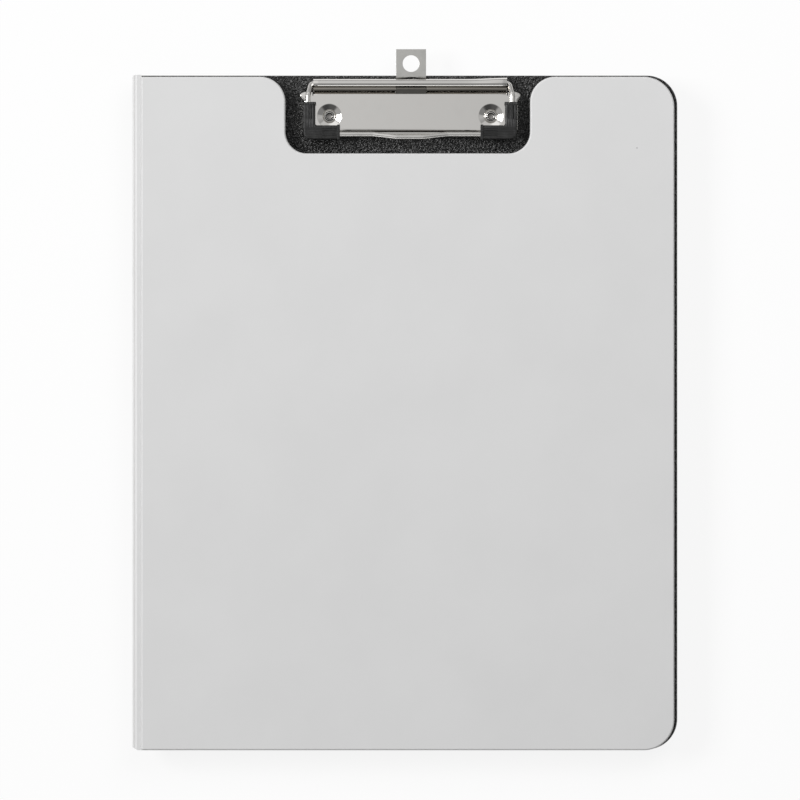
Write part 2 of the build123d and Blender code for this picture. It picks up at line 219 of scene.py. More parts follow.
def foil_material(name, light, dark, roughness, grain_depth, rim_colour, specks=0.0):
    """Smooth welded foil with a fine grain, faint clouds, handled edges and a few dark specks."""
    material, graph, surface, place = new_material(name)
    clouds = graph.noise(place, 28.0, 3.0)
    fine = graph.noise(place, 2600.0, 2.0)
    scuffs = graph.noise(place, 420.0, 4.0, (1.0, 0.16, 1.0))
    colour = graph.mix(graph.spread(clouds, 0.35, 0.65, 0.0, 1.0), dark, light)
    rim = graph.add("ShaderNodeAttribute", attribute_name="rim").outputs["Fac"]
    worn = graph.math("MULTIPLY", rim, graph.spread(scuffs, 0.42, 0.62, 0.25, 0.9))
    colour = graph.mix(worn, colour, rim_colour)
    # Dark specks under a millimetre wide, where the point of one cell in seven meets the surface
    cell = graph.add("ShaderNodeTexVoronoi", {"Vector": place, "Scale": 38.0}).outputs
    chance = graph.add("ShaderNodeSeparateColor", {0: cell["Color"]}).outputs[0]
    speck = graph.math("MULTIPLY", graph.math("GREATER_THAN", chance, 0.86), specks)
    speck = graph.math("MULTIPLY", speck, graph.spread(cell["Distance"], 0.009, 0.016, 1.0, 0.0))
    colour = graph.mix(speck, colour, grey(0.12))
    graph.join(colour, surface.inputs["Base Color"])
    graph.join(graph.spread(scuffs, 0.35, 0.7, roughness, roughness + 0.1), surface.inputs["Roughness"])
    graph.join(graph.bump(fine, grain_depth), surface.inputs["Normal"])
    surface.inputs["IOR"].default_value = 1.46
    return material


def pebble_material(name):
    """Black foil with a pressed leather-like grain, whose tops are painted paler as glints of light."""
    material, graph, surface, place = new_material(name)
    sockets = {"Vector": place, "Scale": 1500.0, "Detail": 2.0}
    wobble = graph.add("ShaderNodeTexNoise", sockets).outputs["Color"]
    sockets = {0: wobble, 1: (0.5 * mm, 0.5 * mm, 0.5 * mm), 2: place}
    bent = graph.add("ShaderNodeVectorMath", sockets, operation="MULTIPLY_ADD").outputs[0]
    sockets = {"Vector": bent, "Scale": 1150.0, "Smoothness": 0.6}
    pebbles = graph.add("ShaderNodeTexVoronoi", sockets, feature="SMOOTH_F1").outputs["Distance"]
    lumps = graph.noise(place, 900.0, 3.0)
    height = graph.math("SUBTRACT", graph.math("MULTIPLY", lumps, 1.4), pebbles)
    graph.join(graph.bump(height, 0.6 * mm), surface.inputs["Normal"])
    # Painted highlight: the grain's tops are paler in the colour, standing in for glints of light
    colour = graph.mix(graph.spread(height, 0.22, 0.62, 0.0, 1.0), grey(0.002), grey(0.090))
    graph.join(colour, surface.inputs["Base Color"])
    graph.join(graph.spread(lumps, 0.3, 0.7, 0.26, 0.16), surface.inputs["Roughness"])
    surface.inputs["IOR"].default_value = 1.5
    return material


def plated_material(name, tone, roughness, lines, line_depth, blotches, painted_shade_strips=()):
    """Plate over pressed steel: faint drawing lines, drawn out along the axes by the scales in
    lines, and duller spots here and there. Each painted shade strip runs across the piece, from
    one Y to another, and keeps some share of its tone: painted shade in the folds and under the
    parts that lie over the sheet."""
    material, graph, surface, place = new_material(name)
    surface.inputs["Metallic"].default_value = 1.0
    drawn = graph.noise(place, 260.0, 3.0, lines)
    spots = graph.noise(place, 160.0, 4.0)
    stained = graph.spread(spots, 0.5, 0.75, 0.0, blotches)
    dull = tuple(channel * 0.8 for channel in tone[:3]) + (1.0,)
    colour = graph.mix(stained, tone, dull)
    along = graph.add("ShaderNodeSeparateXYZ", {0: place}).outputs["Y"]
    for front, rear, share in painted_shade_strips:
        # Painted shade: the strip's tone falls to its share, a little unevenly
        inside = graph.band(along, front, rear, 0.05 * mm)
        shade_unevenness = graph.spread(graph.noise(place, 90.0, 3.0, (0.25, 1.0, 1.0)), 0.3, 0.7, 0.85, 1.0)
        dark = (tone[0] * share * 1.06, tone[1] * share, tone[2] * share * 0.9, 1.0)
        colour = graph.mix(graph.math("MULTIPLY", inside, shade_unevenness), colour, dark)
    graph.join(colour, surface.inputs["Base Color"])
    uneven = graph.math("ADD", graph.math("MULTIPLY", drawn, 0.6), graph.math("MULTIPLY", spots, 0.4))
    uneven = graph.spread(uneven, 0.3, 0.75, roughness * 0.75, roughness * 1.5)
    graph.join(uneven, surface.inputs["Roughness"])
    graph.join(graph.bump(drawn, line_depth), surface.inputs["Normal"])
    return material


def painted_shade_rings(material, rings):
    """Dark rings of painted shade round both rivets' axes, above the board only: in each rivet's
    pit, on its bead's inner slope and in the groove outside the bead. Each ring has an inner and
    an outer radius and a tone."""
    above_board = (2.0 * mm, 2.4 * mm)
    graph = Graph(material.node_tree)
    surface = material.node_tree.nodes["Principled BSDF"]
    place = graph.add("ShaderNodeTexCoord").outputs["Object"]
    parts = graph.add("ShaderNodeSeparateXYZ", {0: place}).outputs
    across = graph.math("SUBTRACT", graph.math("ABSOLUTE", parts["X"]), rivet_half_spacing)
    along = graph.math("SUBTRACT", parts["Y"], rivet_y)
    flat = graph.add("ShaderNodeCombineXYZ", {"X": across, "Y": along}).outputs[0]
    radius = graph.add("ShaderNodeVectorMath", {0: flat}, operation="LENGTH").outputs["Value"]
    colour = surface.inputs["Base Color"].links[0].from_socket
    uneven = graph.spread(graph.noise(place, 700.0, 3.0), 0.3, 0.7, 0.9, 1.0)
    uneven = graph.math("MULTIPLY", uneven, graph.spread(parts["Z"], *above_board, 0.0, 1.0))
    for inner, outer, tone in rings:
        inside = graph.band(radius, inner, outer, 0.06 * mm)
        colour = graph.mix(graph.math("MULTIPLY", inside, uneven), colour, grey(tone, 0.04))
    graph.join(colour, surface.inputs["Base Color"])


def rubber_material(name):
    """Matt black rubber with moulding grain, paler rubbed spots and fine ribs along each leg."""
    material, graph, surface, place = new_material(name)
    grain = graph.noise(place, 3200.0, 3.0)
    rubbed = graph.noise(place, 330.0, 4.0)
    colour = graph.mix(graph.spread(rubbed, 0.45, 0.75, 0.0, 1.0), grey(0.008), grey(0.022))
    graph.join(colour, surface.inputs["Base Color"])
    graph.join(graph.spread(rubbed, 0.3, 0.7, 0.62, 0.46), surface.inputs["Roughness"])
    waves = {"Vector": place, "Scale": 420.0, "Distortion": 0.6}
    upright = graph.add("ShaderNodeTexWave", waves, bands_direction="X").outputs["Fac"]
    level = graph.add("ShaderNodeTexWave", waves, bands_direction="Y").outputs["Fac"]
    along = graph.add("ShaderNodeSeparateXYZ", {0: place}).outputs["Y"]
    bend = (130.7 * mm, 131.2 * mm)
    ribs = graph.mix(graph.spread(along, *bend, 0.0, 1.0), level, upright)
    height = graph.math("ADD", graph.math("MULTIPLY", ribs, 2.0), grain)
    graph.join(graph.bump(height, 0.05 * mm), surface.inputs["Normal"])
    return material


def greyboard_material(name):
    """Pressed greyboard with paper fibres."""
    material, graph, surface, place = new_material(name)
    fibres = graph.noise(place, 900.0, 5.0, (1.0, 0.3, 1.0))
    flecks = graph.noise(place, 2400.0, 2.0)
    dark, light, fleck = (0.30, 0.28, 0.24, 1), (0.44, 0.41, 0.36, 1), (0.12, 0.11, 0.10, 1)
    colour = graph.mix(graph.spread(fibres, 0.35, 0.65, 0.0, 1.0), dark, light)
    colour = graph.mix(graph.spread(flecks, 0.66, 0.72, 0.0, 0.5), colour, fleck)
    graph.join(colour, surface.inputs["Base Color"])
    surface.inputs["Roughness"].default_value = 0.92
    graph.join(graph.bump(fibres, 0.06 * mm), surface.inputs["Normal"])
    return material


# Materials of the folder
white = foil_material(
    "white_satin_foil",
    light=grey(0.665),
    dark=grey(0.650),
    roughness=0.40,
    grain_depth=0.006 * mm,
    rim_colour=grey(0.60, 0.01),
    specks=0.55,
)
inner_black = foil_material(
    "black_smooth_foil",
    light=grey(0.030),
    dark=grey(0.022),
    roughness=0.42,
    grain_depth=0.01 * mm,
    rim_colour=grey(0.05),
)
pebble = pebble_material("black_pebble_foil")

nickel_tone = (0.76, 0.745, 0.72, 1.0)
not_drawn = (1.0, 1.0, 1.0)
plate_nickel = plated_material(
    "nickel_sheet",
    nickel_tone,
    roughness=0.07,
    lines=(0.08, 1.0, 1.0),
    line_depth=0.0004 * mm,
    blotches=0.08,
    # Painted shade on the sheet: a dark strip just behind the bar, and dark strips over the valley between
    # the ramp and the barrel and over the barrel's front
    painted_shade_strips=[
        (128.7 * mm, 129.66 * mm, 0.14),
        (147.9 * mm, 149.0 * mm, 0.18),
        (149.0 * mm, 149.45 * mm, 0.5),
        (149.45 * mm, 150.1 * mm, 0.26),
    ],
)
wire_nickel = plated_material(
    "nickel_wire", nickel_tone, roughness=0.12, lines=not_drawn, line_depth=0.002 * mm, blotches=0.4
)
rivet_nickel = plated_material(
    "nickel_rivet", nickel_tone, roughness=0.1, lines=not_drawn, line_depth=0.002 * mm, blotches=0.3
)
# Painted shade in the rivets: the pit's floor, the bead's inner slope and the groove outside the bead
rivet_shade_rings = [
    (0.0, 1.2 * mm, 0.26),
    (1.25 * mm, 1.66 * mm, 0.02),
    (1.96 * mm, 2.28 * mm, 0.03),
]
painted_shade_rings(rivet_nickel, rivet_shade_rings)
hook_steel = plated_material(
    "dull_plated_strip",
    (0.62, 0.615, 0.59, 1.0),
    roughness=0.30,
    lines=(1.0, 0.06, 1.0),
    line_depth=0.01 * mm,
    blotches=0.8,
    # Painted shade on the strip where it lies under the clip plate and its barrel
    painted_shade_strips=[
        (135.0 * mm, 148.7 * mm, 0.085),
        (148.7 * mm, 149.35 * mm, 0.3),
        (149.35 * mm, 151.0 * mm, 0.1),
    ],
)
rubber = rubber_material("black_grip_rubber")
greyboard = greyboard_material("grey_core_board")


def round_path(corners, radii, steps, closed=False):
    """Points along straight runs whose corners are rounded by arcs of steps parts."""
    last = len(corners) - 1
    points = []
    for index, corner in enumerate(corners):
        if not closed and index in (0, last):
            points.append(Vector(corner))
            continue
        before = (corner - corners[index - 1]).normalized()
        after = (corners[(index + 1) % len(corners)] - corner).normalized()
        turn = before.angle(after)
        start = corner - before * radii[index] * tan(turn / 2)
        centre = corner + (after - before).normalized() * radii[index] / cos(turn / 2)
        axis = before.cross(after)
        for step in range(steps + 1):
            points.append(centre + Quaternion(axis, turn * step / steps) @ (start - centre))
    return points


def inset_path(corners, radii, inset, steps):
    """Closed anticlockwise outline moved inwards, with the same number of points."""
    least_radius = 0.05 * mm
    moved, new_radii = [], []
    for index, corner in enumerate(corners):
        before = (corner - corners[index - 1]).normalized()
        after = (corners[(index + 1) % len(corners)] - corner).normalized()
        inwards = Vector((-before.y - after.y, before.x + after.x, 0))
        moved.append(corner + inwards * inset / (1 + before.dot(after)))
        bulge = 1 if before.cross(after).z > 0 else -1
        new_radii.append(max(radii[index] - bulge * inset, least_radius))
    return round_path(moved, new_radii, steps, closed=True)


def circle_path(centre, radius, count):
    """Closed circle in the plan."""
    middle = Vector((centre[0], centre[1], 0))
    angles = [2 * pi * k / count for k in range(count)]
    return [middle + Vector((radius * cos(angle), radius * sin(angle), 0)) for angle in angles]


def bridge(mesh, first, second, closed=True):
    """Faces between two rows with the same number of vertices."""
    faces = []
    count = len(first)
    for k in range(count if closed else count - 1):
        after = (k + 1) % count
        faces.append(mesh.faces.new((first[k], first[after], second[after], second[k])))
    return faces


def cap(mesh, *loops):
    """Flat face inside the first loop and outside the others."""
    vertices = [vertex for loop in loops for vertex in loop]
    flat = [[vertex.co for vertex in loop] for loop in loops]
    for triangle in tessellate_polygon(flat):
        corners = [vertices[index] for index in triangle]
        if len(set(corners)) == 3:
            mesh.faces.new(corners)


def in_scene(name, data):
    """New object of the scene, at the origin."""
    thing = bpy.data.objects.new(name, data)
    bpy.context.scene.collection.objects.link(thing)
    return thing


def add_object(name, work, *materials):
    """Object from a finished bmesh."""
    data = bpy.data.meshes.new(name)
    work.to_mesh(data)
    work.free()
    for material in materials:
        data.materials.append(material)
    return in_scene(name, data)


def settle(piece):
    """Turn a piece and its modifiers into one plain mesh."""
    graph = bpy.context.evaluated_depsgraph_get()
    plain = bpy.data.meshes.new_from_object(
        piece.evaluated_get(graph), preserve_all_data_layers=True, depsgraph=graph
    )
    plain.name = piece.name
    piece.modifiers.clear()
    piece.data = plain


def shade(piece, sharp_angle=40.0, bevel=0.0, segments=2):
    """Smooth shading with crisp edges, worked out from the faces' areas."""
    if bevel:
        rounding = piece.modifiers.new("edge", "BEVEL")
        rounding.width = bevel
        rounding.segments = segments
        rounding.angle_limit = radians(sharp_angle)
        rounding.use_clamp_overlap = True
        settle(piece)
    data = piece.data
    data.shade_smooth()
    work = bmesh.new()
    work.from_mesh(data)
    for edge in work.edges:
        edge.smooth = len(edge.link_faces) == 2 and edge.calc_face_angle(0) < radians(sharp_angle)
    work.to_mesh(data)
    work.free()
    weighted = piece.modifiers.new("normals", "WEIGHTED_NORMAL")
    weighted.keep_sharp = True
    weighted.weight = 100
    settle(piece)


def dress(piece, body, slot, *nodes):
    """Let a finished piece ride on its body, in the place of CAD nodes."""
    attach(piece, body)
    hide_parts(*nodes)


def cad_copy(name, node, material):
    """Merged copy of a CAD node's mesh."""
    work = bmesh.new()
    work.from_mesh(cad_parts[node].data)
    bmesh.ops.remove_doubles(work, verts=work.verts, dist=0.005 * mm)
    copy = add_object(name, work)
    copy.data.materials.clear()
    copy.data.materials.append(material)
    return copy


# Foils
board_corners = {
    "back": [
        Vector((board_left, -half_height, 0)),
        Vector((back_right, -half_height, 0)),
        Vector((back_right, half_height, 0)),
        Vector((board_left, half_height, 0)),
    ],
    "cover": [
        Vector((board_left, -half_height, 0)),
        Vector((cover_right, -half_height, 0)),
        Vector((cover_right, cover_top, 0)),
        Vector((notch_right, cover_top, 0)),
        Vector((notch_right, notch_bottom, 0)),
        Vector((notch_left, notch_bottom, 0)),
        Vector((notch_left, cover_top, 0)),
        Vector((board_left, cover_top, 0)),
    ],
    "spine": [
        Vector((rear_axis_z + spine_reach, -half_height, 0)),
        Vector((front_axis_z - spine_reach, -half_height, 0)),
        Vector((front_axis_z - spine_reach, half_height, 0)),
        Vector((rear_axis_z + spine_reach, half_height, 0)),
    ],
}
square = square_corner_radius
board_radii = {
    "back": [square, corner_radius, corner_radius, square],
    "cover": [
        square,
        corner_radius,
        corner_radius,
        notch_outer_radius,
        notch_inner_radius,
        notch_inner_radius,
        notch_outer_radius,
        square,
    ],
    "spine": [square] * 4,
}


def foil_profile():
    """Distance in from the outline, height over the weld and share of the rim's wear."""
    shoulder_low = board / 2 - shoulder_radius
    profile = [
        (weld_rim, board / 2 - foil, 0.0),
        (weld_rim, 0.0, 0.0),
        (0.0, 0.0, 0.3),
        (0.0, weld_height * 0.6, 0.6),
        (weld_proud * 0.4, weld_height, 1.0),
        (weld_proud, weld_height * 1.8, 1.0),
        (weld_proud, shoulder_low, 0.5),
    ]
    arc_steps = 6
    for step in range(1, arc_steps + 1):
        angle = pi / 2 * step / arc_steps
        inset = weld_proud + shoulder_radius * (1 - cos(angle))
        profile.append((inset, shoulder_low + shoulder_radius * sin(angle), 0.5 - 0.5 * step / arc_steps))
    return profile


def foil_shell(name, outline, placing, material, holes=()):
    """Closed tray of foil over one side of a core, placed from the plan by a matrix."""
    work = bmesh.new()
    rim = work.verts.layers.float.new("rim")
    corner_steps = 16
    rings = []
    for inset, height, wear in foil_profile():
        ring = []
        for point in inset_path(board_corners[outline], board_radii[outline], inset, corner_steps):
            vertex = work.verts.new((point.x, point.y, height))
            vertex[rim] = wear
            ring.append(vertex)
        rings.append(ring)
    for first, second in zip(rings, rings[1:]):
        bridge(work, first, second)
    inner_loops, outer_loops = [rings[0]], [rings[-1]]
    hole_sides = 48
    for centre, radius in holes:
        circle = circle_path(centre, radius, hole_sides)
        low = [work.verts.new((p.x, p.y, board / 2 - foil)) for p in circle]
        high = [work.verts.new((p.x, p.y, board / 2)) for p in circle]
        bridge(work, low, high)
        inner_loops.append(low)
        outer_loops.append(high)
    cap(work, *inner_loops)
    cap(work, *outer_loops)
    work.transform(placing)
    bmesh.ops.recalc_face_normals(work, faces=work.faces)
    return add_object(name, work, material)


def trim_foot(piece):
    """Cut the corner off the spine's outer face at the foot of the folder."""
    work = bmesh.new()
    work.from_mesh(piece.data)
    outwards = Vector((-spine_cut_length, -spine_cut_width, 0)).normalized()
    cut = bmesh.ops.bisect_plane(
        work,
        geom=work.verts[:] + work.edges[:] + work.faces[:],
        plane_co=(spine_outer_x, spine_cut_length - half_height, 0),
        plane_no=outwards,
        clear_outer=True,
    )
    rims = [item for item in cut["geom_cut"] if isinstance(item, bmesh.types.BMEdge)]
    bmesh.ops.holes_fill(work, edges=rims, sides=0)
    bmesh.ops.recalc_face_normals(work, faces=work.faces)
    work.to_mesh(piece.data)
    work.free()


# A foil is drawn over the plan; these turn it over or stand it on edge and put it on its board
facing_up = Matrix.Identity(4)
facing_down = Matrix.Diagonal((1, 1, -1, 1))
facing_out = Matrix(((0, 0, -1, 0), (0, 1, 0, 0), (1, 0, 0, 0), (0, 0, 0, 1)))
facing_in = Matrix(((0, 0, 1, 0), (0, 1, 0, 0), (1, 0, 0, 0), (0, 0, 0, 1)))
to_back = Matrix.Translation((0, 0, rear_axis_z))
to_cover = Matrix.Translation((0, 0, front_axis_z))
to_spine = Matrix.Translation((spine_middle_x, 0, 0))

rivet_places = [(-rivet_half_spacing, rivet_y), (rivet_half_spacing, rivet_y)]
head_holes = [(place, rivet_head_radius) for place in rivet_places]
shank_holes = [(place, rivet_hole_radius) for place in rivet_places]

foils = [
    ("back_foil_white", "back", to_back @ facing_down, white, head_holes, "back_board", "back_outer_foil"),
    ("back_foil_black", "back", to_back @ facing_up, pebble, shank_holes, "back_board", "back_liner"),
    ("cover_foil_white", "cover", to_cover @ facing_up, white, (), "front_cover", "cover_outer_foil"),
    ("cover_foil_black", "cover", to_cover @ facing_down, pebble, (), "front_cover", "cover_liner"),
    ("spine_foil_white", "spine", to_spine @ facing_out, white, (), "spine", "spine_outer_foil"),
    ("spine_foil_black", "spine", to_spine @ facing_in, pebble, (), "spine", "spine_liner"),
]
for name, outline, placing, material, holes, body, node in foils:
    shell = foil_shell(name, outline, placing, material, holes)
    if outline == "spine":
        trim_foot(shell)
    shade(shell)
    dress(shell, body, "white_foil" if material == white else "black_foil", node)

for node in ("back_core", "spine_core", "cover_core"):
    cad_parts[node].material_slots[0].material = greyboard


# Hinge webs, white outside and black inside, with two pressed lines along the crease
web_parts = 20
web_rows = 40
web_overlap = 0.2 * mm
web_bend_radius = 0.95 * mm
web_line_depth = 0.07 * mm
web_line_parts = (3, 7)


def web_section(axis_z, inward):
    """Middle line of a bent web from the board's edge to the end of the spine strip."""
    corners = [
        Vector((board_left + web_overlap, 0, axis_z)),
        Vector((spine_middle_x, 0, axis_z)),
        Vector((spine_middle_x, 0, axis_z + inward * (spine_reach + web_overlap))),
    ]
    half_parts = web_parts // 2
    bend = round_path(corners, [0, web_bend_radius, 0], half_parts)
    run = bend[1] - bend[0]
    return [bend[0] + run * k / half_parts for k in range(half_parts)] + bend[1:]


def hinge_web(name, axis_z, inward):
    """Web round the crease of a joint, in its rest shape."""
    work = bmesh.new()
    section = web_section(axis_z, inward)
    rows = {"outer": [], "inner": []}
    lengths = [-half_height + k * 2 * half_height / web_rows for k in range(web_rows + 1)]
    for y in lengths:
        outer, inner = [], []
        for index, point in enumerate(section):
            ahead = section[min(index + 1, len(section) - 1)] - section[max(index - 1, 0)]
            side = Vector((ahead.z, 0, -ahead.x)).normalized() * inward
            reach = foil - (web_line_depth if index in web_line_parts else 0)
            outer.append(work.verts.new(point - side * reach + Vector((0, y, 0))))
            inner.append(work.verts.new(point + side * reach + Vector((0, y, 0))))
        rows["outer"].append(outer)
        rows["inner"].append(inner)
    for k in range(len(lengths) - 1):
        bridge(work, rows["outer"][k], rows["outer"][k + 1], closed=False)
        for face in bridge(work, rows["inner"][k], rows["inner"][k + 1], closed=False):
            face.material_index = 1
        for end in (0, -1):
            outer_edge = [rows["outer"][k][end], rows["outer"][k + 1][end]]
            inner_edge = [rows["inner"][k + 1][end], rows["inner"][k][end]]
            work.faces.new(outer_edge + inner_edge)
    for row in (0, -1):
        bridge(work, rows["outer"][row], rows["inner"][row], closed=False)
    bmesh.ops.recalc_face_normals(work, faces=work.faces)
    web = add_object(name, work, white, pebble)
    trim_foot(web)
    shade(web)
    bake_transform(web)
    return web


rear_web = hinge_web("rear_crease", rear_axis_z, 1)
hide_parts("rear_hinge_web")
front_web = hinge_web("front_crease", front_axis_z, -1)
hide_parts("front_hinge_web")


# Pocket inside the cover
pocket = cad_copy("pocket_inside_cover", "inner_pocket", inner_black)
shade(pocket, sharp_angle=30, bevel=0.05 * mm)
dress(pocket, "front_cover", "pocket_foil", "inner_pocket")


# Clip plate, drawn as the middle face of the sheet and then given its thickness
def smooth_step(value):
    value = min(max(value, 0.0), 1.0)
    return value * value * (3 - 2 * value)


def plate_edge(side_reach):
    """One half of the turned-down edge, from the middle of the front to the rear of the ear:
    place, radius of the turned lip, height of its lower edge and share of the bar's seat."""
    side_x = side_reach - sheet / 2
    front_y = plate_front + sheet / 2
    corner = plate_corner_radius - sheet / 2
    lip = lip_round - sheet / 2
    corner_x = side_x - corner
    side_start = front_y + corner
    samples = []

    seat_parts = 16
    for k in range(seat_parts + 1):
        x = seat_half_length * k / seat_parts
        samples.append((Vector((x, front_y, 0)), lip, board, 1.0))
    fade_parts = 6
    for k in range(1, fade_parts + 1):
        x = seat_half_length + seat_fade * k / fade_parts
        samples.append((Vector((x, front_y, 0)), lip, board, 1 - smooth_step(k / fade_parts)))
    seat_end = seat_half_length + seat_fade
    front_parts = 5
    for k in range(1, front_parts):
        x = seat_end + (corner_x - seat_end) * k / front_parts
        samples.append((Vector((x, front_y, 0)), lip, board, 0.0))

    corner_parts = 12
    for k in range(corner_parts + 1):
        angle = -pi / 2 + pi / 2 * k / corner_parts
        place = Vector((corner_x + corner * cos(angle), side_start + corner * sin(angle), 0))
        samples.append((place, lip, board, 0.0))
    flare_start = ear_tip_y - ear_flare
    side_parts = 8
    for k in range(1, side_parts):
        place = Vector((side_x, side_start + (flare_start - side_start) * k / side_parts, 0))
        samples.append((place, lip, board, 0.0))

    ear_low = field_z - ear_drop
    flare_parts = 12
    rise_parts = 7
    for k in range(flare_parts + 1):
        share = smooth_step(k / flare_parts)
        x = side_x + (ear_tip_x - side_x) * share
        place = Vector((x, flare_start + ear_flare * k / flare_parts, 0))
        low = board + (ear_low - board) * smooth_step(k / rise_parts)
        samples.append((place, lip + (ear_lip - lip) * share, low, 0.0))
    back_parts = 14
    thinning_parts = 11
    for k in range(1, back_parts + 1):
        angle = pi / 2 * k / back_parts
        share = smooth_step((back_parts - k) / thinning_parts)
        x = ear_back_x + (ear_tip_x - ear_back_x) * cos(angle)
        place = Vector((x, ear_tip_y + (shoulder_rear - ear_tip_y) * sin(angle), 0))
        low = field_z - max(ear_drop * share, ear_least_drop)
        samples.append((place, max(ear_lip * share, ear_least_lip), low, 0.0))
    return samples


def barrel_section(x):
    """Middle line of the sheet behind the field, over the ramp and round the wire. The roll
    opens a little towards its right end."""
    opening = smooth_step((x - roll_opening_start) / roll_opening_length)
    radius = roll_radius + roll_opening_radius * opening
    centre_y = bail_axis_y + roll_offset + roll_opening_offset * opening
    corners = [
        Vector((x, plate_bend - 2 * ramp_bend_radius, field_z)),
        Vector((x, plate_bend, field_z)),
        Vector((x, ramp_foot, foot_z)),
        Vector((x, centre_y, foot_z)),
    ]
    bend_steps = 8
    section = round_path(corners, [0, ramp_bend_radius, ramp_bend_radius, 0], bend_steps)
    roll_steps = 72
    for step in range(1, roll_steps + 1):
        angle = -pi / 2 + barrel_wrap * step / roll_steps
        section.append(Vector((x, centre_y + radius * cos(angle), foot_z + radius + radius * sin(angle))))
    return section


# Seat of the bar between the grips: how far in from the front and how far below the field, in mm
bar_seat = [
    (3.12, 0.0),
    (3.06, 0.03),
    (2.96, 0.12),
    (2.3, 0.82),
    (2.2, 0.88),
    (2.1, 0.9),
    (0.85, 0.9),
    (0.3, 1.1),
    (0.0, 1.6),
]


def turned_edge(work):
    """Rows of the edge that is turned down all along the front, the sides and the ears."""
    mirrored = [(Vector((-p.x, p.y, 0)), *rest) for p, *rest in reversed(plate_edge(plate_left_reach)[1:])]
    samples = mirrored + plate_edge(plate_right_reach)
    bend_steps = len(bar_seat) - 1
    rows = [[] for _ in range(bend_steps + 2)]
    for index, (place, lip, low, seat) in enumerate(samples):
        along = samples[min(index + 1, len(samples) - 1)][0] - samples[max(index - 1, 0)][0]
        outwards = Vector((along.y, -along.x, 0)).normalized()
        for step, (seat_inset, seat_drop) in enumerate(bar_seat):
            angle = pi / 2 * step / bend_steps
            inset, drop = lip * (1 - sin(angle)), lip * (1 - cos(angle))
            inset += seat * (seat_inset * mm - inset)
            drop += seat * (seat_drop * mm - drop)
            point = place - outwards * inset
            point.z = field_z - drop
            rows[step].append(work.verts.new(point))
        rows[-1].append(work.verts.new((place.x, place.y, low)))
    for first, second in zip(rows, rows[1:]):
        bridge(work, first, second, closed=False)
    return rows


def rolled_barrel(work):
    """Columns of the ramp and the barrel, with the gate for the hook left open."""
    # Places along the barrel, closer together at its right, where the roll opens
    stations = [gate_left, gate_right, -barrel_half_width, barrel_half_width]
    stations += [-42 * mm + k * 3.5 * mm for k in range(11)]
    stations += [9.5 * mm + k * 2.5 * mm for k in range(14)]
    stations.sort()
    margin = 0.01 * mm
    columns = [[work.verts.new(point) for point in barrel_section(x)] for x in stations]
    for left, right in zip(columns, columns[1:]):
        in_gate = left[0].co.x > gate_left - margin and right[0].co.x < gate_right + margin
        for k in range(len(left) - 1):
            middle_z = (left[k].co.z + left[k + 1].co.z) / 2
            behind_bend = left[k].co.y > plate_bend
            if not (in_gate and behind_bend and middle_z < gate_top):
                work.faces.new((left[k], left[k + 1], right[k + 1], right[k]))
    return columns


def field_rear(work, columns):
    """Rear line of the field, from ear to ear, with a slit at each end of the barrel."""
    relief_x = barrel_half_width + barrel_relief
    slit_y = plate_bend - ramp_bend_radius
    slit = [(relief_x, shoulder_rear), (relief_x, slit_y), (barrel_half_width, slit_y)]
    right = [work.verts.new((x, y, field_z)) for x, y in slit]
    left = [work.verts.new((-x, y, field_z)) for x, y in reversed(slit)]
    return right + [column[0] for column in reversed(columns)] + left


def pressed_dishes(work):
    """Rings of both dishes, from the rivet's hole up to the field; gives the outer ones."""
    slope_end = dish_radius + dish_slope_reach
    field_reach = 0.5 * mm
    corners = [
        Vector((rivet_hole_radius, 0, foot_z)),
        Vector((dish_floor_radius, 0, foot_z)),
        Vector((dish_floor_radius + dish_foot_run, 0, foot_z + dish_foot_rise)),
        Vector((slope_end, 0, field_z)),
        Vector((slope_end + field_reach, 0, field_z)),
    ]
    radii = [0, 0.2 * mm, 0.25 * mm, dish_edge_round, 0]
    bend_steps = 6
    dish_sides = 72
    profile = round_path(corners, radii, bend_steps)[:-1]
    outer_rings = []
    for place in rivet_places:
        rings = []
        for point in profile:
            circle = circle_path(place, point.x, dish_sides)
            rings.append([work.verts.new((p.x, p.y, point.z)) for p in circle])
        for first, second in zip(rings, rings[1:]):
            bridge(work, first, second)
        outer_rings.append(rings[-1])
    return outer_rings


def clip_sheet():
    """Middle face of the clip plate."""
    work = bmesh.new()
    rows = turned_edge(work)
    columns = rolled_barrel(work)
    rear = field_rear(work, columns)
    dishes = pressed_dishes(work)
    cap(work, rows[0] + rear, *dishes)
    loose = [vertex for vertex in work.verts if not vertex.link_faces]
    bmesh.ops.delete(work, geom=loose, context="VERTS")
    bmesh.ops.remove_doubles(work, verts=work.verts, dist=0.004 * mm)
    bmesh.ops.recalc_face_normals(work, faces=work.faces)
    return work


plate = add_object("clip_plate_pressed", clip_sheet(), plate_nickel)
thickness = plate.modifiers.new("sheet", "SOLIDIFY")
thickness.thickness = sheet
thickness.offset = 0.0
settle(plate)
shade(plate, sharp_angle=40, bevel=0.06 * mm)
dress(plate, "back_board", "plated_sheet", "clip_plate")


def geometry_tree(name, inputs):
    """Geometry Nodes tree with named inputs; returns its graph and the inputs' sockets."""
    tree = bpy.data.node_groups.new(name, "GeometryNodeTree")
    tree.interface.new_socket("Geometry", in_out="INPUT", socket_type="NodeSocketGeometry")
    for label, kind in inputs.items():
        tree.interface.new_socket(label, in_out="INPUT", socket_type=kind)
    tree.interface.new_socket("Geometry", in_out="OUTPUT", socket_type="NodeSocketGeometry")
    graph = Graph(tree)
    return graph, graph.add("NodeGroupInput").outputs


def finish_tree(graph, geometry, material_socket):
    """Make the result real and give it its material."""
    real = graph.add("GeometryNodeRealizeInstances", {0: geometry}).outputs[0]
    sockets = {"Geometry": real, "Material": material_socket}
    painted = graph.add("GeometryNodeSetMaterial", sockets).outputs[0]
    graph.add("NodeGroupOutput", {0: painted})


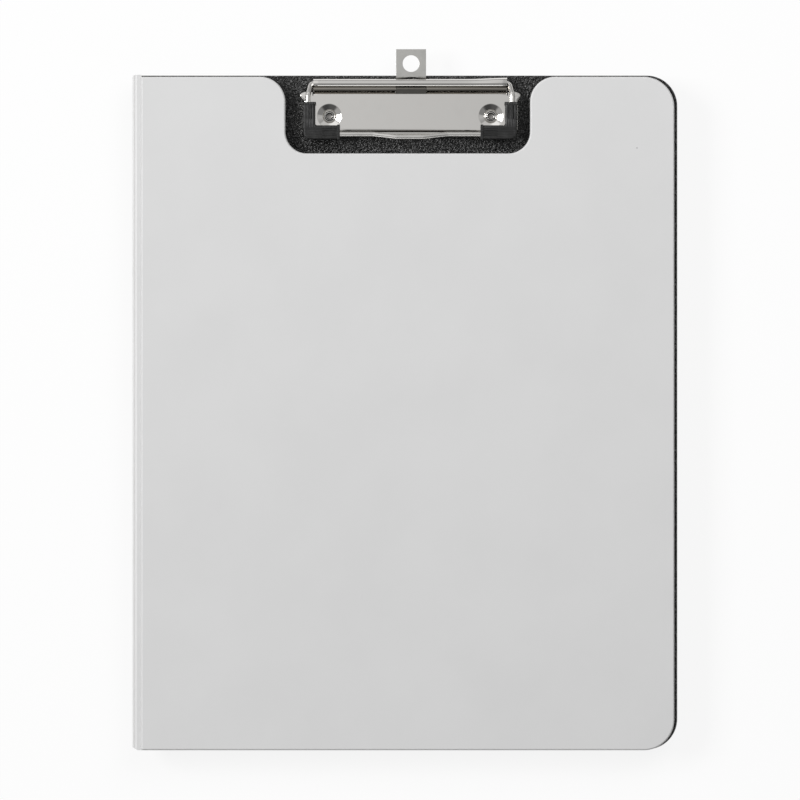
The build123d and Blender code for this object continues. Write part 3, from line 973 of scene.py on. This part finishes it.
def grow(piece, graph, **values):
    """Run a tree on a piece with its named inputs and keep the plain mesh."""
    modifier = piece.modifiers.new("build", "NODES")
    modifier.node_group = graph.tree
    for item in graph.tree.interface.items_tree:
        if item.in_out == "INPUT" and item.name in values:
            modifier[item.identifier] = values[item.name]
    settle(piece)


def line_object(name, points):
    """Object of edges only, through the points."""
    work = bmesh.new()
    row = [work.verts.new(point) for point in points]
    for first, second in zip(row, row[1:]):
        work.edges.new((first, second))
    return add_object(name, work)


# Wire bail
def wire_tree():
    """Tree that sweeps a round section along a route of edges."""
    inputs = {"Radius": "NodeSocketFloat", "Sides": "NodeSocketInt", "Material": "NodeSocketMaterial"}
    graph, given = geometry_tree("wire_along_route", inputs)
    route_curve = graph.add("GeometryNodeMeshToCurve", {0: given["Geometry"]}).outputs[0]
    sockets = {"Resolution": given["Sides"], "Radius": given["Radius"]}
    section = graph.add("GeometryNodeCurvePrimitiveCircle", sockets).outputs[0]
    sockets = {"Curve": route_curve, "Profile Curve": section, "Fill Caps": True}
    tube = graph.add("GeometryNodeCurveToMesh", sockets).outputs[0]
    finish_tree(graph, tube, given["Material"])
    return graph


half_route = [
    Vector((wire_end_x, bail_axis_y, bail_axis_z)),
    Vector((elbow_x, bail_axis_y, bail_axis_z)),
    Vector((arm_top_x, arm_top_y, bar_z)),
    Vector((arm_foot_x, bar_y, bar_z)),
    Vector((bow_foot_x, bar_y, bar_z)),
    Vector((bow_top_x, bow_top_y, bow_top_z)),
]
half_radii = [0, 2.0 * mm, 4.5 * mm, 2.8 * mm, 9.0 * mm, 9.0 * mm]
wire_bend_parts = 14
wire_sides = 40
route = half_route + [Vector((-p.x, p.y, p.z)) for p in reversed(half_route)]
wire = line_object("bail_wire_bent", round_path(route, half_radii + half_radii[::-1], wire_bend_parts))
grow(wire, wire_tree(), Radius=wire_radius, Sides=wire_sides, Material=wire_nickel)
shade(wire, sharp_angle=50, bevel=0.15 * mm, segments=3)
dress(wire, "wire_bail", "plated_wire", "bail_wire")


# Rivets
def rivet_tree():
    """Tree that turns a profile round its axis and places the result in both dishes."""
    inputs = {
        "Half spacing": "NodeSocketFloat",
        "Reach": "NodeSocketFloat",
        "Sides": "NodeSocketInt",
        "Material": "NodeSocketMaterial",
    }
    graph, given = geometry_tree("turned_at_places", inputs)
    profile_curve = graph.add("GeometryNodeMeshToCurve", {0: given["Geometry"]}).outputs[0]
    sockets = {"Resolution": given["Sides"], "Radius": 0.001 * mm}
    axis_circle = graph.add("GeometryNodeCurvePrimitiveCircle", sockets).outputs[0]
    sockets = {"Curve": axis_circle, "Profile Curve": profile_curve}
    turned = graph.add("GeometryNodeCurveToMesh", sockets).outputs[0]
    sockets = {"Geometry": turned, "Distance": 0.01 * mm}
    turned = graph.add("GeometryNodeMergeByDistance", sockets).outputs[0]
    sockets = {"X": graph.math("MULTIPLY", given["Half spacing"], -1.0), "Y": given["Reach"]}
    left_place = graph.add("ShaderNodeCombineXYZ", sockets).outputs[0]
    sockets = {"X": graph.math("MULTIPLY", given["Half spacing"], 2.0)}
    spacing = graph.add("ShaderNodeCombineXYZ", sockets).outputs[0]
    sockets = {"Count": 2, "Start Location": left_place, "Offset": spacing}
    places = graph.add("GeometryNodeMeshLine", sockets).outputs[0]
    both = graph.add("GeometryNodeInstanceOnPoints", {"Points": places, "Instance": turned}).outputs[0]
    finish_tree(graph, both, given["Material"])
    return graph


def rivet_profile():
    """Section from the pit's floor over the bead and the rolled rim, down the shank and to the
    flat head. Radii and heights are in mm: the rim's over the dish's floor, the head's over the
    folder's back."""
    dish_floor = board + sheet
    rim = [
        (0.0, 0.3),
        (1.1, 0.3),
        (1.28, 0.36),
        (1.42, 0.62),
        (1.5, 0.9),
        (1.6, 1.04),
        (1.74, 1.08),
        (1.88, 1.02),
        (1.98, 0.86),
        (2.06, 0.64),
        (2.14, 0.62),
        (2.24, 0.78),
        (2.38, 0.86),
        (2.56, 0.82),
        (2.74, 0.6),
        (2.84, 0.3),
        (2.82, 0.12),
        (2.75, 0.04),
        (2.0, 0.0),
    ]
    points = [(x * mm, dish_floor + z * mm) for x, z in rim]
    head = [(2.0, 0.75), (4.5, 0.75), (4.5, 0.22), (4.38, 0.13), (4.1, 0.1), (0.0, 0.1)]
    points += [(x * mm, z * mm) for x, z in head]
    return [Vector((x, -z, 0)) for x, z in points]


rivets = line_object("clip_rivets_turned", rivet_profile())
rivet_sides = 64
rivet_values = {
    "Half spacing": rivet_half_spacing,
    "Reach": rivet_y,
    "Sides": rivet_sides,
    "Material": rivet_nickel,
}
grow(rivets, rivet_tree(), **rivet_values)
shade(rivets, sharp_angle=45)
dress(rivets, "back_board", "plated_rivet", "clip_rivets")


# Grips and hanging hook
for side in ("left", "right"):
    grip = cad_copy(f"rubber_grip_{side}", f"corner_grip_{side}", rubber)
    shade(grip, sharp_angle=42, bevel=0.05 * mm)
    dress(grip, "wire_bail", "grip_rubber", f"corner_grip_{side}")
hook = cad_copy("hanging_hook_strip", "hanging_hook", hook_steel)
shade(hook, sharp_angle=35, bevel=0.08 * mm)
dress(hook, "hook", "hook_strip", "hanging_hook")


# Studio: a floor just below the lowest place that the turned cover reaches
floor_z = -7.5 * mm
floor_size = 8.0
floor_paint = 0.86
floor_glow = 0.86


def bare_graph(tree):
    """Graph of a node tree that is emptied first."""
    tree.nodes.clear()
    return Graph(tree)


def seen_share(graph):
    """One for rays that show a surface to the camera, and zero for those that only light it."""
    path = graph.add("ShaderNodeLightPath").outputs
    seen = graph.math("MAXIMUM", path["Is Camera Ray"], path["Is Glossy Ray"])
    return graph.math("MAXIMUM", seen, path["Is Transmission Ray"])


def quad(name, size, placing, material):
    """Square of the studio, which isn't part of the object."""
    work = bmesh.new()
    bmesh.ops.create_grid(work, x_segments=1, y_segments=1, size=size / 2)
    work.transform(placing)
    plane = add_object(name, work, material)
    return plane


def floor_material():
    """White floor that keeps a faint shadow, and isn't seen from below."""
    material = bpy.data.materials.new("studio_floor")
    material.use_nodes = True
    graph = bare_graph(material.node_tree)
    seen = seen_share(graph)
    paint = graph.add("ShaderNodeBsdfDiffuse", {"Color": grey(floor_paint)}).outputs[0]
    glow = graph.add("ShaderNodeEmission", {"Strength": 1.0}).outputs[0]
    share = graph.math("MULTIPLY", seen, floor_glow)
    lit = graph.add("ShaderNodeMixShader", {0: share, 1: paint, 2: glow}).outputs[0]
    clear = graph.add("ShaderNodeBsdfTransparent").outputs[0]
    behind = graph.add("ShaderNodeNewGeometry").outputs["Backfacing"]
    both = graph.add("ShaderNodeMixShader", {0: behind, 1: lit, 2: clear}).outputs[0]
    graph.add("ShaderNodeOutputMaterial", {"Surface": both})
    return material


floor = quad("studio_floor", floor_size, Matrix.Translation((0, 0, floor_z)), floor_material())
floor.visible_diffuse = False
floor.visible_shadow = False


def dome_material():
    """Studio surroundings that the metal shows: bands across the dome, from the front edge's side
    over the top to the rear, all a little darker towards the right."""
    material = bpy.data.materials.new("studio_dome")
    material.use_nodes = True
    graph = bare_graph(material.node_tree)
    place = graph.add("ShaderNodeTexCoord").outputs["Object"]
    parts = graph.add("ShaderNodeSeparateXYZ", {0: place}).outputs
    angle = graph.math("ARCTAN2", parts["Y"], parts["Z"])
    share = graph.spread(angle, -pi / 2, pi / 2, 0.0, 1.0)
    ramp = graph.add("ShaderNodeValToRGB", {0: share})
    ramp.color_ramp.interpolation = "LINEAR"
    # Degrees from straight up, towards the rear, and brightness
    bands = [
        (-90, 0.04),
        (-75, 0.05),
        (-71, 1.7),
        (-59, 1.7),
        (-56, 0.08),
        (-42, 0.08),
        (-36, 0.34),
        (-4, 0.33),
        (1.5, 0.64),
        (8, 0.67),
        (18, 0.74),
        (34, 0.60),
        (44, 0.48),
        (47, 0.85),
        (58, 0.85),
        (61, 0.42),
        (80, 0.40),
        (86, 0.2),
        (90, 0.1),
    ]
    elements = ramp.color_ramp.elements
    while len(elements) < len(bands):
        elements.new(0.5)
    for element, (degrees_off, brightness) in zip(elements, bands):
        element.position = (degrees_off + 90) / 180
        element.color = grey(brightness)
    lean = graph.spread(parts["X"], -0.45, 0.45, 1.25, 0.75)
    strength = graph.math("MULTIPLY", ramp.outputs["Color"], lean)
    glow = graph.add("ShaderNodeEmission", {"Strength": strength}).outputs[0]
    graph.add("ShaderNodeOutputMaterial", {"Surface": glow})
    material.cycles.emission_sampling = "NONE"
    return material


dome_radius = 3.0
dome_work = bmesh.new()
bmesh.ops.create_uvsphere(dome_work, u_segments=64, v_segments=32, radius=dome_radius)
low = [vertex for vertex in dome_work.verts if vertex.co.z < -0.01]
bmesh.ops.delete(dome_work, geom=low, context="VERTS")
bmesh.ops.reverse_faces(dome_work, faces=dome_work.faces)
dome = add_object("studio_dome", dome_work, dome_material())
# Only reflections see the dome
for ray in ("camera", "diffuse", "transmission", "shadow", "volume_scatter"):
    setattr(dome, f"visible_{ray}", False)


def area_lamp(name, width, height, energy, place, target):
    """Rectangular lamp at a place, pointed at a target."""
    data = bpy.data.lights.new(name, "AREA")
    data.shape = "RECTANGLE"
    data.size = width
    data.size_y = height
    data.energy = energy
    lamp = in_scene(name, data)
    lamp.location = place
    lamp.rotation_euler = (Vector(target) - Vector(place)).to_track_quat("-Z", "Y").to_euler()
    return lamp


# Key light from the spine's side, low enough to leave the cover's shadow in the notch
key_turn = radians(163)
key_rise = radians(37)
key_away = 2.6
key_place = (
    key_away * cos(key_rise) * cos(key_turn),
    key_away * cos(key_rise) * sin(key_turn),
    key_away * sin(key_rise),
)
clip_middle = (0.0, 137 * mm, 4 * mm)
area_lamp("key", width=1.3, height=0.8, energy=52.0, place=key_place, target=clip_middle)

# Large soft lamp from the upper right, which the metal doesn't show
soft_place = (0.5, 0.75, 1.0)
soft = area_lamp("soft", width=0.9, height=0.9, energy=7.3, place=soft_place, target=(0.0, 0.0, 0.0))
soft.visible_glossy = False

# White surroundings, which give the piece less light than the camera sees
world_light = 0.29
world = bpy.data.worlds.new("studio")
bpy.context.scene.world = world
world.use_nodes = True
world_graph = bare_graph(world.node_tree)
strength = world_graph.spread(seen_share(world_graph), 0.0, 1.0, world_light, 1.0)
sky = world_graph.add("ShaderNodeBackground", {"Color": grey(1.0), "Strength": strength}).outputs[0]
world_graph.add("ShaderNodeOutputWorld", {"Surface": sky})

bpy.context.scene.view_settings.view_transform = "Standard"

# Camera straight above the folder, far away with a long lens
camera_away = 2.4
camera_x = -4.68 * mm
camera_y = 5.73 * mm
frame_width = 367 * mm
camera_data = bpy.data.cameras.new("camera")
camera_data.sensor_width = 36.0
camera_data.lens = camera_data.sensor_width * camera_away / frame_width
camera_data.clip_end = 20.0
camera = in_scene("camera", camera_data)
camera.location = (camera_x, camera_y, camera_away + cover_floor + board)
bpy.context.scene.camera = camera
